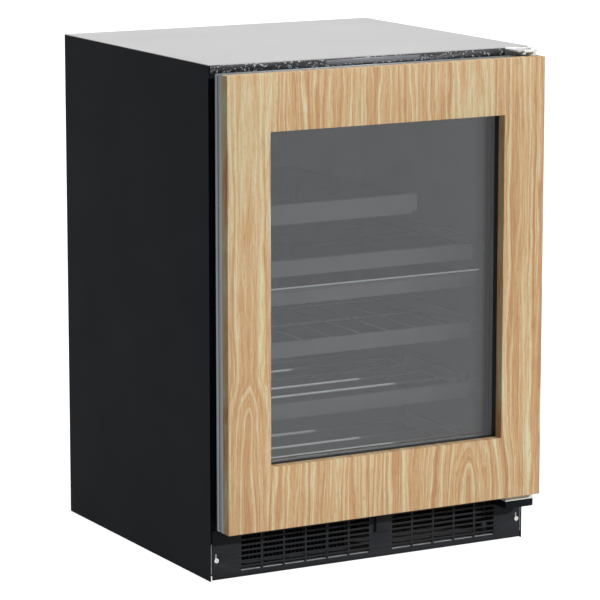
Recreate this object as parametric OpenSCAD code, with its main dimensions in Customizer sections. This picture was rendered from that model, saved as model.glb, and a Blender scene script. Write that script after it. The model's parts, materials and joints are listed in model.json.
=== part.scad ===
// Built-in undercounter refrigerator with a glass door in a wood overlay frame.
// Millimetres, +Z up, the door faces -Y. The origin is on the floor, midway
// between the two sides and midway between the door's face and the cabinet's back.

/* [Cabinet] */
// Outside width of the cabinet
cab_w = 606; // [560:1:760]
// Outside height with the levelling feet wound in
cab_h = 857; // [700:1:1040]
// Depth of the cabinet behind its front face, without the door
cab_d = 545; // [500:1:660]
// Thickness of each insulated side wall
side_wall = 53; // [42:1:70]
// Thickness of the insulated top wall
top_wall = 50; // [38:1:70]
// Thickness of the insulated back wall
back_wall = 74; // [62:1:90]
// Thickness of the insulated floor
floor_wall = 46; // [36:1:60]
// Height of the ventilated base under the insulation
base_h = 92; // [88:1:120]
// Height of the machine compartment at the rear
machine_h = 215; // [205:1:262]
// Depth of the machine compartment
machine_d = 190; // [180:1:230]
// Thickness of the steel sheet
sheet_t = 1; // [0.8:0.1:1.5]
// Thickness of the inner liner
liner_t = 1.5; // [1:0.1:2.5]
// Air under the cabinet's side panels
floor_gap = 2; // [1:0.5:6]

/* [Door] */
// How much narrower the door is than the cabinet
door_inset = 5.5; // [3:0.5:12]
// Height of the door's lower edge above the top of the base
door_lift = 1; // [0:0.5:8]
// Drop from the cabinet's top to the door's top edge
door_drop = 12.2; // [8:0.1:20]
// Distance from the cabinet's front face to the back of the metal frame
seal_gap = 18.5; // [16:0.5:24]
// Depth of the metal door frame
frame_d = 22.8; // [20:0.1:30]
// Width of the metal frame's extrusion
frame_w = 66.7; // [50:0.1:80]
// Thickness of the frame extrusion's walls
frame_wall = 2; // [1.5:0.1:3]
// Thickness of the wood overlay panel
panel_t = 19; // [16:0.5:25]
// Width of the overlay's stiles
stile_w = 78.8; // [76:0.1:100]
// Height of the overlay's top rail
top_rail_h = 94.4; // [80:0.1:120]
// Height of the overlay's bottom rail
bottom_rail_h = 106; // [85:0.1:130]
// Setback of the glass behind the overlay's back face
glass_setback = 12.3; // [8:0.1:15]
// Thickness of each glass pane
pane_t = 3; // [3:0.5:5]
// Space between the two panes
pane_gap = 9; // [6:0.5:12]
// How far the glass reaches under its bead
glass_cover = 11; // [6:0.5:12]
// Width of the magnetic seal
seal_w = 26; // [18:1:30]

/* [Hinges] */
// Distance from the door's edge to the hinge pin
pin_inset = 10.25; // [9:0.25:16]
// Distance from the cabinet's front face forward to the hinge pin
pin_reach = 32; // [29:0.5:36]
// Radius of the hinge pins
pin_r = 4; // [3:0.25:5]
// Thickness of the lower bracket's arm
bracket_t = 11; // [8:0.5:14]
// Length of the lower bracket's arm along the door
bracket_l = 59; // [45:1:70]
// Thickness of the upper hinge plate
plate_t = 3; // [2.5:0.5:5]
// Length of the upper hinge plate along the door
plate_l = 42; // [38:1:90]

/* [Kick plate] */
// Pitch of the slot columns
slot_pitch_x = 41.3; // [30:0.1:48]
// Width of the bars between the columns
slot_bar = 3.8; // [3:0.1:8]
// Pitch of the slot rows
slot_pitch_z = 9; // [7:0.1:12]
// Height of one slot
slot_h = 5.8; // [4:0.1:8]
// Number of slot rows
slot_rows = 8; // [4:1:8]
// Height of the lowest slot above the floor
slot_z = 13.7; // [10:0.1:20]

/* [Shelves and racks] */
// Distance from the cabinet's front face back to the shelf fronts
shelf_set = 57; // [50:1:90]
// Gap between a rack front and the liner wall
rack_gap = 18; // [16:1:26]
// Height of a rack front
trim_h = 27; // [20:1:30]
// Height of each rack's top edge above the cabinet's floor
rack_lift = [378, 241, 136, 31]; // [31:1:560]
// Height of the fixed divider's top above the cabinet's floor
divider_lift = 332; // [300:1:345]
// Height of the short top shelf above the cabinet's floor
top_shelf_lift = 472; // [440:1:520]
// Right-hand end of the short top shelf, from the centre line
top_shelf_end = 123; // [100:1:190]
// Radius of the racks' frame rods
rod_r = 3; // [2.5:0.25:4]
// Radius of the racks' bottle wires
wire_r = 1.6; // [1.2:0.1:2.5]
// Spacing of the bottle wires that run front to back
wire_pitch = 56; // [40:1:70]
// Spacing of the cross rods
cross_pitch = 63; // [45:1:80]
// Height of a rack slide
slide_h = 26; // [20:1:28]

/* [Machinery] */
// Radius of the compressor's shell
comp_r = 60; // [50:1:66]
// Height of the compressor's shell
comp_h = 138; // [110:1:142]
// Tip radius of the condenser fan
cond_fan_r = 56; // [40:1:60]
// Tip radius of the evaporator fan
evap_fan_r = 42; // [30:1:46]
// Radius of a levelling foot's threaded stem
foot_stem_r = 5; // [4:0.5:6]
// Radius of a levelling foot's pad
foot_pad_r = 16; // [12:1:22]
// Height of a levelling foot's pad
foot_pad_h = 10; // [8:1:11]

/* [Hidden] */
$fn = 48;
seam = 0.1;            // gap where a part is made in several lengths
running = 0.08;        // radial clearance of a pin in its bush
slip = 0.5;            // clearance of a sliding part
half_w = cab_w / 2;
door_d = seal_gap + frame_d + panel_t;
overall_d = cab_d + door_d;
front_y = overall_d / 2 - cab_d;
// inside of the cabinet
in_x = half_w - side_wall;
in_back = cab_d - back_wall;
in_floor = base_h + floor_wall;
in_top = cab_h - top_wall;
step_y = cab_d - machine_d - floor_wall;
step_z = machine_h + floor_wall;
machine_y = cab_d - machine_d;
// steelwork
return_w = 22;         // front return of a side panel
rear_return_w = 14;
fascia_h = 14;
fascia_t = 3;
fascia_end = 3;        // the fascia stops this far inside the cabinet's side
fascia_drop = 1.5;     // and this far below its top
insert_lo = -88;
insert_hi = 90;
insert_z = [cab_h - fascia_h + 3, cab_h - fascia_drop - 2];
insert_fit = 0.2;
insert_sink = 1.2;     // depth of the insert's recess
insert_proud = 0.4;
pan_z = 14;
pan_t = 1.5;
pan_lip = 36;          // height of the base pan's side lips
kick_t = 1.5;
kick_gap = 3.5;        // shadow gap beside the kick plate
kick_x = half_w - kick_gap;
kick_z = 4;
kick_top = base_h - 4;
post_w = 24;           // front post of the base pan
post_y = kick_t;
screw_x = half_w - 11;
screw_z = 37;
screw_r = 2.4;
// door
door_bottom = base_h + door_lift;
door_x = (cab_w - door_inset) / 2;
door_top = cab_h - door_drop;
win_x = door_x - stile_w;
win_lo = door_bottom + bottom_rail_h;
win_hi = door_top - top_rail_h;
wood_y = -seal_gap - frame_d;      // back face of the wood
face_y = wood_y - panel_t;         // front face of the wood
glass_y = wood_y + glass_setback;  // front face of the glass
glass_back = glass_y + 2 * pane_t + pane_gap;
pocket_x = door_x - frame_w;
pocket_lo = door_bottom + frame_w;
pocket_hi = door_top - frame_w;
pane_x = win_x + glass_cover;
pane_lo = win_lo - glass_cover;
pane_hi = win_hi + glass_cover;
inner_edge = 12;                   // inner frame's step in from the door's edge
inner_back = -2;                   // inner frame's rearmost face
seal_back = -0.6;
seal_seat = -6;
// hinge
pin_x = door_x - pin_inset;
pin_y = -pin_reach;
bush_r = pin_r + 2.5;
bush_l = 20;
bracket_top = door_bottom - 13;
bracket_y = pin_y - 11;
hex_h = 2.4;                       // head of the upper pin, level with the cabinet's top
plate_z = cab_h - plate_t - hex_h;
plate_y = pin_y - 17;
plate_x = half_w - fascia_end - plate_l;
hinge_screws_x = [plate_x + 8, plate_x + plate_l - 16];
flange_h = 13;                     // upright flange of the upper hinge plate
hinge_screw_z = plate_z - flange_h / 2;
// kick plate grid
tab_column = 6;
slot_cols = floor((2 * kick_x - 100) / slot_pitch_x);
slot_x0 = -slot_cols * slot_pitch_x / 2 + 2;
tab_w = 28;
tab_t = 6;
tab_z = 49;
// shelves and racks
rack_z = [for (lift = rack_lift) in_floor + lift];
rack_surface = ["glass", "wires", "rods", "rods"];
divider_z = in_floor + divider_lift;
top_shelf_z = in_floor + top_shelf_lift;
rack_x = in_x - rack_gap;
rail_web = 1.5;
rail_w = 12;
runner_w = 7;
runner_start = shelf_set + 33;
rod_drop = 6;                      // rod centres below a rack's top edge
back_room = 30;                    // air behind the racks
cross_at = [0.42, 0.78];           // where the carriers lie along a rack's depth
trim_d = 9;
trim_t = 3;
shelf_glass_t = 5;
std_x = 88;                        // slotted standards on the back wall
std_w = 16;
std_t = 5;
arm_t = 3;
// evaporator in the back wall
evap_x = 76;
evap_top = in_top - 22;
evap_h = 236;
evap_d = 48;
evap_fan_z = evap_top - evap_fan_r - 8;
// machine compartment
fan_x = -half_w + 173;
fan_z = pan_z + 96;
shroud_y = machine_y + 12;
shroud_t = 14;
cond_lo = -half_w + 75;     // condenser, under the insulated floor
cond_hi = -30;
cond_y_start = 34;
cond_y_end = 120;
cond_z = pan_z + pan_t + 4;
cond_h = base_h - cond_z - 8;
cond_rows = 4;
tube_out = 6;               // how far a coil's tubes stand out of its fins
comp_x = 130;
comp_y = cab_d - 96;
mount_h = 12;
mount_at = [70, 44];        // rubber mounts out from the compressor's axis
mount_r = 4;
plate_h = 3;
shell_z = pan_z + pan_t + mount_h + plate_h;
comp_mid = shell_z + comp_h * 0.42;
foot_x = half_w - 46;
foot_y = [46, cab_d - 46];
foot_stem_top = 72;
cover_gap = 0.5;
inlet_x = -half_w + 110;
inlet_z = 42;
inlet_w = 28;
inlet_h = 22;

// ---- helpers ----

// Moves what was drawn from the cabinet's front face to the part's frame.
module placed() translate([0, front_y, 0]) children();

// A box between two corners.
module block(lo, hi) translate(lo) cube(hi - lo);

// The children and their mirror image across the centre plane.
module both_sides() {
    children();
    mirror([1, 0, 0]) children();
}

// A round rod from point p to point q.
module rod(p, q, r) {
    v = q - p;
    l = norm(v);
    translate(p)
        rotate([0, acos(v[2] / l), atan2(v[1], v[0])])
            cylinder(h = l, r = r);
}

// A pipe of rods through a list of points, with a ball at each bend.
module pipe(points, r) {
    for (i = [0 : len(points) - 2]) rod(points[i], points[i + 1], r);
    for (i = [1 : 1 : len(points) - 2]) translate(points[i]) sphere(r = r);
}

// A frame around an opening: two upright bars and two level bars between them.
module bars(x_out, z_lo, z_hi, x_in, in_lo, in_hi, y_front, y_rear) {
    both_sides() block([x_in, y_front, z_lo], [x_out, y_rear, z_hi]);
    block([-x_in + seam, y_front, z_lo], [x_in - seam, y_rear, in_lo]);
    block([-x_in + seam, y_front, in_hi], [x_in - seam, y_rear, z_hi]);
}

// A fan wheel about the Y axis, its hub's front face at the origin.
module fan_wheel(hub_r, tip_r, depth, blades, shaft_r) {
    blade_t = 2;
    difference() {
        rotate([-90, 0, 0]) union() {
            cylinder(h = depth, r = hub_r);
            for (i = [0 : blades - 1])
                rotate([0, 0, i * 360 / blades])
                    translate([hub_r - 2, 0, depth / 2])
                        rotate([35, 0, 0])
                            translate([0, -depth * 0.55, -blade_t / 2])
                                cube([tip_r - hub_r, depth * 1.1, blade_t]);
        }
        rotate([-90, 0, 0]) translate([0, 0, -1]) cylinder(h = depth + 2, r = shaft_r + running);
    }
}

// Finned coil: thin upright fins across a few level tubes.
module finned_coil(lo, hi, fins, rows, tube_r) {
    fin_t = 0.6;
    step = (hi[0] - lo[0] - fin_t) / (fins - 1);
    for (i = [0 : fins - 1])
        block([lo[0] + i * step, lo[1], lo[2]], [lo[0] + i * step + fin_t, hi[1], hi[2]]);
    for (i = [0 : rows - 1]) {
        z = lo[2] + (i + 0.5) * (hi[2] - lo[2]) / rows;
        y = (lo[1] + hi[1]) / 2;
        rod([lo[0] - tube_out, y, z], [hi[0] + tube_out, y, z], tube_r);
    }
}

// Whether something as low as z has to stop in front of the step.
function before_step(z) = z < step_z + 2;
function rack_rear(top) = (before_step(top - rod_drop - rod_r) ? step_y : in_back) - back_room;
function rail_rear(top) = (before_step(rail_mid(top) - slide_h / 2) ? step_y : in_back) - 4;
function rail_mid(top) = top - 4;

// ---- cabinet ----

module side_panels() color([0.13, 0.14, 0.15]) placed() both_sides() {
    skin = half_w - sheet_t;
    roof = cab_h - sheet_t;
    block([skin, 0, floor_gap], [half_w, cab_d, roof]);
    block([half_w - return_w, 0, base_h], [half_w, sheet_t, roof]);
    block([half_w - rear_return_w, cab_d - sheet_t, floor_gap], [half_w, cab_d, roof]);
}

module top_panel() color([0.81, 0.81, 0.81]) placed() {
    block([-half_w, 0, cab_h - sheet_t], [half_w, cab_d, cab_h]);
    lip = half_w - return_w - seam;
    block([-lip, 0, cab_h - fascia_h], [lip, sheet_t, cab_h]);
}

module back_panel() color([0.62, 0.63, 0.64]) placed() {
    x = half_w - sheet_t;
    block([-x, cab_d - 2 * sheet_t, machine_h], [x, cab_d - sheet_t, cab_h - sheet_t]);
}

module rear_cover() color([0.3, 0.31, 0.32]) placed() {
    x = half_w - sheet_t - cover_gap;
    louvre_rows = 7;
    louvre_cols = 5;
    louvre = [54, 7];
    louvre_pitch = [68, 20];
    louvre_lo = [-110, 58];
    difference() {
        block([-x, cab_d - 2 * sheet_t, pan_z + pan_t + cover_gap],
              [x, cab_d - sheet_t, machine_h - cover_gap]);
        for (row = [0 : louvre_rows - 1], col = [0 : louvre_cols - 1])
            translate([louvre_lo[0] + col * louvre_pitch[0], cab_d - 3 * sheet_t,
                       louvre_lo[1] + row * louvre_pitch[1]])
                cube([louvre[0], 3 * sheet_t, louvre[1]]);
        block([inlet_x - inlet_w / 2, cab_d - 3 * sheet_t, inlet_z - inlet_h / 2],
              [inlet_x + inlet_w / 2, cab_d, inlet_z + inlet_h / 2]);
    }
}

module base_pan() color([0.55, 0.56, 0.57]) placed() {
    x = half_w - sheet_t;
    rear = cab_d - 2 * sheet_t - cover_gap;
    collar_h = 12;         // threaded collars for the levelling feet
    collar_r = 10;
    difference() {
        union() {
            block([-x, post_y, pan_z], [x, rear, pan_z + pan_t]);
            both_sides() {
                block([x - pan_t, post_y, pan_z], [x, rear, pan_z + pan_lip]);
                block([x - post_w, post_y, pan_z], [x, post_y + pan_t, bracket_top - bracket_t - 4]);
            }
            for (side = [-1, 1], y = foot_y)
                translate([side * foot_x, y, pan_z]) cylinder(h = collar_h, r = collar_r);
        }
        for (side = [-1, 1], y = foot_y)
            translate([side * foot_x, y, pan_z - 1])
                cylinder(h = collar_h + 2, r = foot_stem_r + running);
        for (side = [-1, 1])
            translate([side * screw_x, -1, screw_z]) rotate([-90, 0, 0]) cylinder(h = 9, r = screw_r);
    }
}

// Boards of foam around the liner, each a box, so that every wall is whole.
module foam_insulation() color([0.93, 0.88, 0.7]) placed() {
    x_out = half_w - sheet_t;
    x_in = in_x + liner_t;
    y_in = liner_t;
    y_out = cab_d - 2 * sheet_t;
    z_top = cab_h - sheet_t;
    z_roof = in_top + liner_t;
    z_step = step_z - liner_t;
    z_floor = in_floor - liner_t;
    y_step = step_y + liner_t;
    y_back = in_back + liner_t;
    block([-x_out, y_in, z_roof + seam], [x_out, y_out, z_top]);
    both_sides() {
        block([x_in, y_in, machine_h + seam], [x_out, y_out, z_roof]);
        block([x_in, y_in, base_h], [x_out, machine_y, machine_h]);
    }
    difference() {
        block([-x_in + seam, y_back, z_step + seam], [x_in - seam, y_out, z_roof]);
        block([-evap_x - liner_t, y_back - 1, evap_top - evap_h - liner_t],
              [evap_x + liner_t, in_back + evap_d + liner_t, evap_top + liner_t]);
    }
    block([-x_in + seam, y_in, base_h], [x_in - seam, machine_y, z_floor]);
    block([-x_in + seam, y_step, z_floor + seam], [x_in - seam, machine_y, machine_h - seam]);
    block([-x_in + seam, y_step, machine_h], [x_in - seam, y_out, z_step]);
}

// One-piece liner with the step over the machinery and the evaporator pocket.
module liner_space(grow, front) {
    block([-in_x - grow, front, step_z - grow], [in_x + grow, in_back + grow, in_top + grow]);
    block([-in_x - grow, front, in_floor - grow], [in_x + grow, step_y + grow, in_top]);
    block([-evap_x - grow, front, evap_top - evap_h - grow],
          [evap_x + grow, in_back + evap_d + grow, evap_top + grow]);
}

module liner() color([0.42, 0.43, 0.45]) placed() {
    edge_x = half_w - return_w - seam;
    difference() {
        union() {
            liner_space(liner_t, 0);
            block([-edge_x, 0, base_h], [edge_x, liner_t, cab_h - fascia_h - seam]);
        }
        liner_space(0, -1);
    }
}

module front_fascia() color([0.07, 0.07, 0.08]) placed() difference() {
    block([-half_w + fascia_end, -fascia_t, cab_h - fascia_h], [plate_x - 2, 0, cab_h - fascia_drop]);
    block([insert_lo - insert_fit, -fascia_t - 1, insert_z[0] - insert_fit],
          [insert_hi + insert_fit, -fascia_t + insert_sink, insert_z[1] + insert_fit]);
}

module fascia_insert() color([0.16, 0.16, 0.17]) placed()
    block([insert_lo, -fascia_t - insert_proud, insert_z[0]],
          [insert_hi, -fascia_t + insert_sink, insert_z[1]]);

// ---- kick plate ----

module kick_plate() color([0.17, 0.17, 0.18]) placed() difference() {
    tab_x = slot_x0 + tab_column * slot_pitch_x + 7;
    keyhole_r = 4.4;
    keyhole_slot = 4;
    stiffener = 9;         // depth of the return along the top edge
    union() {
        block([-kick_x, 0, kick_z], [kick_x, kick_t, kick_top]);
        // raised tab in the column without slots
        block([tab_x, -tab_t, tab_z], [tab_x + tab_w, kick_t, kick_top]);
        block([-kick_x, kick_t, kick_top - kick_t], [kick_x - bracket_l - 3, stiffener, kick_top]);
    }
    for (col = [0 : slot_cols - 1], row = [0 : slot_rows - 1])
        if (col != tab_column)
            translate([slot_x0 + col * slot_pitch_x, -1, slot_z + row * slot_pitch_z])
                cube([slot_pitch_x - slot_bar, kick_t + 2, slot_h]);
    // room for the lower hinge bracket
    block([half_w - bracket_l - 6, -1, bracket_top - bracket_t - 1], [half_w, kick_t + 1, kick_top + 1]);
    // keyholes: a round hole with a narrow slot above it
    for (side = [-1, 1]) {
        translate([side * screw_x, -1, screw_z]) rotate([-90, 0, 0])
            cylinder(h = kick_t + 2, r = keyhole_r);
        block([side * screw_x - keyhole_slot / 2, -1, screw_z],
              [side * screw_x + keyhole_slot / 2, kick_t + 1, screw_z + 11]);
    }
}

// Pan-head screw, its head on the side of -Y and its face under the head at y.
module screw(x, y, z, head_r, shank) {
    head_t = 2.6;
    translate([x, y, z]) rotate([-90, 0, 0]) {
        translate([0, 0, -head_t]) difference() {
            cylinder(h = head_t, r = head_r);
            for (turn = [0, 90]) rotate([0, 0, turn]) translate([-2, -0.4, -1]) cube([4, 0.8, 2]);
        }
        translate([0, 0, -0.5]) cylinder(h = shank + 0.5, r = screw_r);
    }
}

module screws() color([0.78, 0.78, 0.8]) placed() {
    for (side = [-1, 1]) screw(side * screw_x, kick_t, screw_z, 3.9, 8);
    for (x = hinge_screws_x) screw(x, -plate_t, hinge_screw_z, 4.4, plate_t);
}

// ---- hinges ----

module upper_hinge_plate() color([0.78, 0.79, 0.81]) placed() {
    x_end = half_w - fascia_end;
    ear = 8;               // rounded corners at the plate's nose
    difference() {
        union() {
            block([plate_x, -plate_t, plate_z - flange_h], [x_end, 0, cab_h - fascia_drop]);
            block([plate_x, pin_y, plate_z], [x_end, 0, plate_z + plate_t]);
            block([plate_x + ear, plate_y, plate_z], [x_end - ear, pin_y + 1, plate_z + plate_t]);
            translate([plate_x + ear, pin_y, plate_z]) cylinder(h = plate_t, r = ear);
            translate([x_end - ear, pin_y, plate_z]) cylinder(h = plate_t, r = ear);
            translate([pin_x, pin_y, plate_z + plate_t]) cylinder(h = hex_h, r = 7, $fn = 6);
            translate([pin_x, pin_y, door_top - bush_l + 2])
                cylinder(h = plate_z - door_top + bush_l, r = pin_r);
        }
        for (x = hinge_screws_x)
            translate([x, -plate_t - 1, hinge_screw_z]) rotate([-90, 0, 0])
                cylinder(h = plate_t + 2, r = screw_r);
    }
}

module lower_hinge_bracket() color([0.08, 0.08, 0.09]) placed() {
    x_end = half_w - sheet_t;
    x_start = x_end - bracket_l;
    corner = 9;
    back_t = 4;
    arm_lo = bracket_top - bracket_t;
    block([x_start, bracket_y + corner, arm_lo], [x_end, post_y + pan_t, bracket_top]);
    block([x_start, bracket_y, arm_lo], [x_end - corner, 0, bracket_top]);
    translate([x_end - corner, bracket_y + corner, arm_lo]) cylinder(h = bracket_t, r = corner);
    difference() {
        block([x_start, post_y + pan_t, 20],
              [half_w - sheet_t - pan_t, post_y + pan_t + back_t, bracket_top]);
        translate([screw_x, post_y + pan_t - 1, screw_z]) rotate([-90, 0, 0])
            cylinder(h = back_t + 2, r = screw_r + 0.6);
    }
    translate([pin_x, pin_y, bracket_top - 1])
        cylinder(h = door_bottom - bracket_top + bush_l - 2, r = pin_r);
}

// ---- inside the cabinet ----

module control_panel() color([0.05, 0.05, 0.06]) placed() difference() {
    front = 6;
    size = [160, 24, 13];
    button_pitch = 20;
    button_r = 4;
    block([-size[0] / 2, front, in_top - size[2]], [size[0] / 2, front + size[1], in_top]);
    for (i = [-3 : 3])
        translate([i * button_pitch, front + 1, in_top - size[2] / 2]) rotate([90, 0, 0])
            cylinder(h = 2, r = button_r);
}

module light_bars() color([0.95, 0.96, 1]) placed()
    both_sides() block([92, 20, in_top - 8], [in_x - 14, 32, in_top]);

module door_switch() color([0.12, 0.12, 0.12]) placed() {
    block([in_x - 12, 4, in_top - 10], [in_x, 26, in_top - 1]);
    rod([in_x - 6, 4, in_top - 5.5], [in_x - 6, 1.5, in_top - 5.5], 3);
}

module shelf_standards() color([0.68, 0.69, 0.7]) placed() both_sides() difference() {
    z_lo = step_z + 12;
    z_hi = in_top - 12;
    pitch = 50;
    slot_l = 26;
    block([std_x - std_w / 2, in_back - std_t, z_lo], [std_x + std_w / 2, in_back, z_hi]);
    block([std_x - std_w / 2 + 1.5, in_back - std_t + 1.5, z_lo - 1],
          [std_x + std_w / 2 - 1.5, in_back + 1, z_hi + 1]);
    for (z = [z_lo + 20 : pitch : z_hi - 40])
        translate([std_x - 2, in_back - std_t - 1, z]) cube([4, 4, slot_l]);
}

module evaporator_cover() color([0.5, 0.51, 0.53]) placed() difference() {
    x = std_x - std_w / 2 - 1;
    cover_t = 2;
    pitch = 11;
    intake_w = 104;
    block([-x, in_back - cover_t, evap_top - evap_h - 3], [x, in_back, evap_top + 4]);
    // return air low down, and the fan's outlet above it
    for (row = [0 : 5])
        translate([-intake_w / 2, in_back - cover_t - 1, evap_top - evap_h + 14 + row * pitch])
            cube([intake_w, cover_t + 2, 5]);
    for (row = [0 : 6])
        translate([-evap_fan_r, in_back - cover_t - 1, evap_top - 84 + row * pitch])
            cube([2 * evap_fan_r, cover_t + 2, 6]);
}

module evaporator_coil() color([0.75, 0.77, 0.79]) placed()
    finned_coil([-evap_x + 10, in_back + 6, evap_top - evap_h + 12],
                [evap_x - 10, in_back + evap_d - 6, evap_top - evap_h + 118], 16, 4, 4);

module evaporator_fan_motor() color([0.2, 0.2, 0.22]) placed() {
    translate([0, in_back + 24, evap_fan_z]) rotate([-90, 0, 0]) cylinder(h = evap_d - 24, r = 17);
    rod([0, in_back + 8, evap_fan_z], [0, in_back + 25, evap_fan_z], 2.5);
    block([-evap_x, in_back + evap_d - 3, evap_fan_z - 7], [evap_x, in_back + evap_d, evap_fan_z + 7]);
}

module evaporator_fan_blade() color([0.1, 0.1, 0.1]) placed()
    translate([0, in_back + 9, evap_fan_z]) fan_wheel(11, evap_fan_r, 12, 5, 2.5);

// ---- shelves and racks ----

// Front extrusion of a shelf: a web with a lip at the top and at the foot.
module trim(x_lo, x_hi, top, height) {
    y = shelf_set;
    block([x_lo, y, top - height], [x_hi, y + trim_t, top]);
    block([x_lo, y, top - trim_t], [x_hi, y + trim_d, top]);
    block([x_lo, y, top - height], [x_hi, y + trim_d, top - height + 2]);
}

// The top rack's glass sheet lies on its cross rods, inside its frame rods.
module rack_1_glass() color([0.75, 0.85, 0.83, 0.4]) placed() {
    z = rack_z[0] - rod_drop;
    x = rack_x - 8 - rod_r - slip;
    block([-x, shelf_set + trim_d + 0.2, z], [x, rack_rear(rack_z[0]) - rod_r - slip, z + shelf_glass_t]);
}

module top_shelf_glass() color([0.75, 0.85, 0.83, 0.4]) placed()
    block([-rack_x + 6, shelf_set + trim_d + 0.2, top_shelf_z - shelf_glass_t - 1],
          [top_shelf_end - 12, in_back - std_t - 12, top_shelf_z - 1]);

module top_shelf_frame() color([0.5, 0.5, 0.52]) placed() {
    arm_top = top_shelf_z - shelf_glass_t - 1;
    trim(-rack_x, top_shelf_end, top_shelf_z, trim_h + 2);
    block([-rack_x, shelf_set + trim_t, top_shelf_z - trim_h - 7],
          [top_shelf_end - 7, shelf_set + trim_d, top_shelf_z - trim_h - 2]);
    for (side = [-1, 1]) {
        x = side * std_x;
        block([x - arm_t / 2, shelf_set + 2, arm_top - 18], [x + arm_t / 2, in_back - std_t, arm_top]);
        block([x - arm_t / 2, in_back - std_t - 40, arm_top - 60],
              [x + arm_t / 2, in_back - std_t, arm_top]);
    }
}

module divider_glass() color([0.75, 0.85, 0.83, 0.4]) placed()
    block([-in_x + 1, shelf_set + 4, divider_z - 4], [in_x - 1, in_back - std_t - 6, divider_z]);

module divider_bar() color([0.4, 0.4, 0.42]) placed() {
    block([-in_x, shelf_set, divider_z - 29], [in_x, shelf_set + 14, divider_z - 7]);
    block([-in_x, shelf_set + 5, divider_z - 7], [in_x, shelf_set + 12, divider_z - 4]);
    both_sides()
        block([in_x - 12, shelf_set + 14, divider_z - 10], [in_x, in_back - std_t - 6, divider_z - 4]);
}

// Channel on each liner wall that carries one rack.
module slide_rails() color([0.6, 0.61, 0.62]) placed() for (top = rack_z) both_sides() {
    z_lo = rail_mid(top) - slide_h / 2;
    z_hi = rail_mid(top) + slide_h / 2;
    block([in_x - rail_web, shelf_set - 25, z_lo], [in_x, rail_rear(top), z_hi]);
    block([in_x - rail_w, shelf_set - 25, z_lo], [in_x, rail_rear(top), z_lo + rail_web]);
    block([in_x - rail_w, shelf_set - 25, z_hi - rail_web], [in_x, rail_rear(top), z_hi]);
}

// Rack with its runners. It carries a glass sheet, or wires that run front to
// back with the bottles between them, or straight cross rods.
module rack(top, surface) {
    cross_r = rod_r - 0.8;
    lean = surface == "glass" ? cross_r : wire_r;
    z = top - rod_drop;
    front = shelf_set + trim_t + rod_r;
    rear = rack_rear(top);
    side_x = rack_x - 8;
    runner_x = in_x - rail_web - slip - runner_w;
    runner_h = slide_h - 2 * rail_web - 2 * slip;
    rod([-side_x, front, z], [side_x, front, z], rod_r);
    rod([-side_x, rear, z], [side_x, rear, z], rod_r);
    both_sides() {
        rod([side_x, front, z], [side_x, rear, z], rod_r);
        translate([side_x, front, z]) sphere(r = rod_r);
        translate([side_x, rear, z]) sphere(r = rod_r);
        block([runner_x, runner_start, rail_mid(top) - runner_h / 2],
              [runner_x + runner_w, rail_rear(top) - 8, rail_mid(top) + runner_h / 2]);
        for (y = [runner_start + 10, rear - 40])
            block([side_x, y, z - 2.5], [runner_x + 1, y + 18, z + 2.5]);
    }
    if (surface == "wires") {
        count = floor(side_x / wire_pitch + 0.5);
        for (i = [0 : count - 1]) both_sides()
            rod([(i + 0.5) * wire_pitch, front, z], [(i + 0.5) * wire_pitch, rear, z], wire_r);
    }
    if (surface == "rods")
        for (y = [front + cross_pitch + 6 : cross_pitch : rear - cross_pitch / 2])
            rod([-side_x, y, z], [side_x, y, z], cross_r);
    else
        for (share = cross_at) {
            y = front + share * (rear - front);
            rod([-side_x, y, z - lean], [side_x, y, z - lean], cross_r);
        }
}

module rack_body(i) color([0.72, 0.73, 0.74]) placed() rack(rack_z[i], rack_surface[i]);
module rack_front(i) color([0.4, 0.4, 0.42]) placed() trim(-rack_x, rack_x, rack_z[i], trim_h);

// ---- machinery ----

module compressor() color([0.1, 0.1, 0.11]) placed() {
    base = pan_z + pan_t + mount_h;
    dome = 26;
    dome_r = 40;
    wall = comp_h - 2 * dome;
    difference() {
        block([comp_x - mount_at[0] - 14, comp_y - mount_at[1] - 12, base],
              [comp_x + mount_at[0] + 14, comp_y + mount_at[1] + 12, base + plate_h]);
        for (sx = [-1, 1], sy = [-1, 1])
            translate([comp_x + sx * mount_at[0], comp_y + sy * mount_at[1], base - 1])
                cylinder(h = plate_h + 2, r = mount_r);
    }
    translate([comp_x, comp_y, shell_z]) {
        translate([0, 0, dome]) cylinder(h = wall, r = comp_r);
        for (up = [0, 1])
            translate([0, 0, up * wall + dome]) mirror([0, 0, 1 - up])
                rotate_extrude() intersection() {
                    translate([comp_r - dome_r, 0]) union() {
                        translate([0, dome - dome_r]) circle(r = dome_r);
                        translate([-comp_r, dome - dome_r]) square([comp_r, dome_r]);
                    }
                    square([comp_r, dome]);
                }
        translate([0, 0, dome + wall * 0.55]) cylinder(h = 3, r = comp_r + 3);
    }
}

module compressor_mounts() color([0.06, 0.06, 0.06]) placed()
    for (sx = [-1, 1], sy = [-1, 1])
        translate([comp_x + sx * mount_at[0], comp_y + sy * mount_at[1], pan_z + pan_t]) {
            cylinder(h = mount_h, r = 10);
            cylinder(h = mount_h + plate_h, r = mount_r);
        }

module relay_cover() color([0.9, 0.9, 0.88]) placed() {
    size = [37, 48, 58];
    x = comp_x - comp_r + 3;
    block([x - size[0], comp_y - size[1] / 2, comp_mid - size[2] / 2],
          [x, comp_y + size[1] / 2, comp_mid + size[2] / 2]);
}

module condenser() color([0.14, 0.14, 0.15]) placed()
    finned_coil([cond_lo, cond_y_start, cond_z], [cond_hi, cond_y_end, cond_z + cond_h],
                28, cond_rows, 4);

module condenser_shroud() color([0.12, 0.12, 0.13]) placed() difference() {
    half = 78;
    block([fan_x - half, shroud_y, pan_z + pan_t], [fan_x + half, shroud_y + shroud_t, fan_z + half]);
    translate([fan_x, shroud_y - 1, fan_z]) rotate([-90, 0, 0])
        cylinder(h = shroud_t + 2, r = cond_fan_r + 4);
}

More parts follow.
